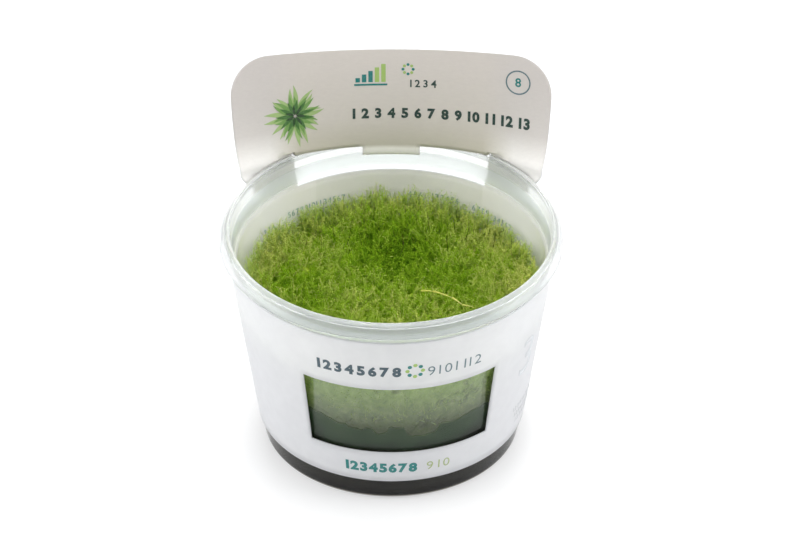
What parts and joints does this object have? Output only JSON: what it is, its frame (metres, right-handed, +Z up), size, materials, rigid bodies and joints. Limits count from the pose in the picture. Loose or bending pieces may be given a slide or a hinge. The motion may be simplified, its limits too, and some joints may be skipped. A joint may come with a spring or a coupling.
{
  "type": "tissue culture cup of creeping feather moss",
  "caption": "Clear tissue culture cup of fine green aquarium moss growing on dark gel, in a white card sleeve with a front window and a header card standing behind the rim.",
  "frame": {"origin": "middle of the cup's flat underside", "axes": "+Z up out of the cup's mouth, -Y towards the sleeve's window, +Y towards the header card, +X to the right as seen from the front"},
  "size_m": [0.1, 0.1, 0.1018],
  "materials": {
    "cup_plastic": "satin",
    "white_card": "satin",
    "growth_gel": "satin",
    "moss_green": "matte"
  },
  "bodies": {
    "root": {"cup": "cup_plastic", "card_sleeve": "white_card", "growth_gel": "growth_gel", "moss": "moss_green"}
  },
  "joints": []
}
